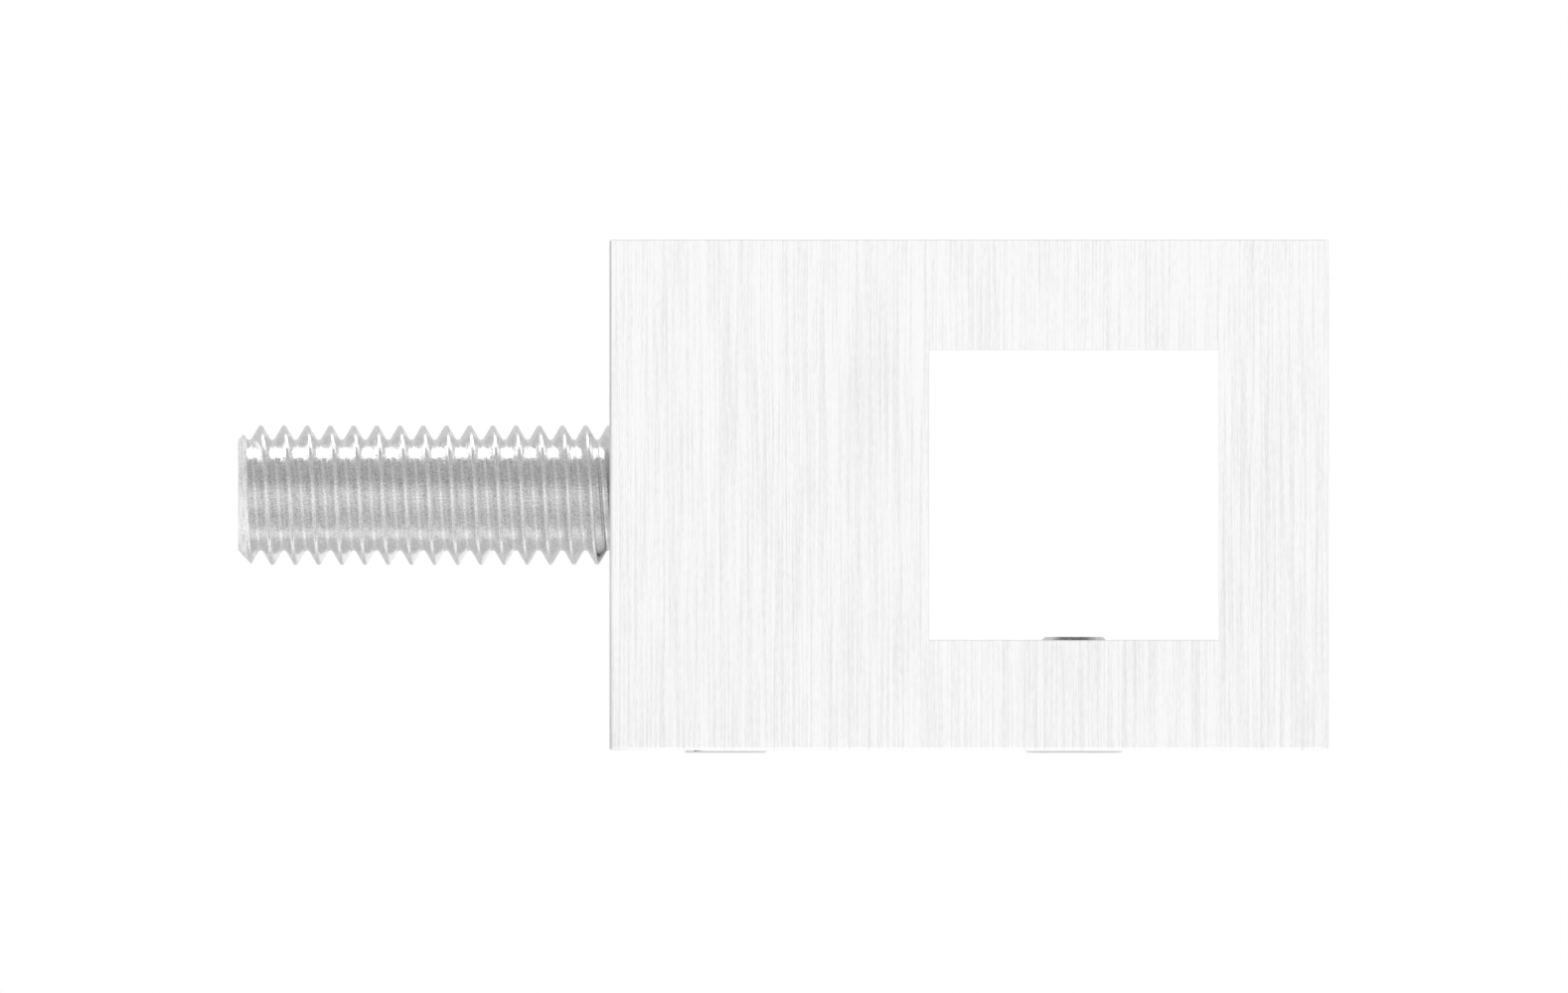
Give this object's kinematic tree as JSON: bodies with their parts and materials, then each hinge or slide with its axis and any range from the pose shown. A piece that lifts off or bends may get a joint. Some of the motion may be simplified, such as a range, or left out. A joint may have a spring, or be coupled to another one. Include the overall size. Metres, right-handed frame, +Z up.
{
  "type": "railing crossbar holder",
  "caption": "Square steel block with a square through-hole for a railing crossbar, a threaded stud for the post, and set screws from below that clamp the bar and lock the stud.",
  "frame": {"origin": "where the stud's axis meets the block's post face", "axes": "+X runs away from the post along the stud's axis and the block's length, Y along the crossbar, +Z up, set screws at the bottom"},
  "size_m": [0.047, 0.022, 0.0221],
  "materials": {
    "ground_steel": "ground stainless with a straight grain across the bar's height",
    "rolled_thread_steel": "bright stainless, rolled thread",
    "clamp_screw_steel": "plain stainless",
    "lock_screw_steel": "plain stainless"
  },
  "bodies": {
    "holder": {"block": "ground_steel"},
    "stud": {"post_stud": "rolled_thread_steel"},
    "clamp_screw": {"bar_clamp_screw": "clamp_screw_steel"},
    "lock_screw": {"stud_lock_screw": "lock_screw_steel"}
  },
  "joints": [
    {"name": "stud_turn", "type": "hinge", "parent": "holder", "child": "stud", "pos_m": [0, 0, 0], "axis": [1, 0, 0], "continuous": true},
    {"name": "clamp_screw_travel", "type": "slide", "parent": "holder", "child": "clamp_screw", "axis": [0, 0, 1], "range_m": [-0.002, 0.0025]},
    {"name": "lock_screw_travel", "type": "slide", "parent": "holder", "child": "lock_screw", "axis": [0, 0, 1], "range_m": [-0.004, 0]}
  ]
}
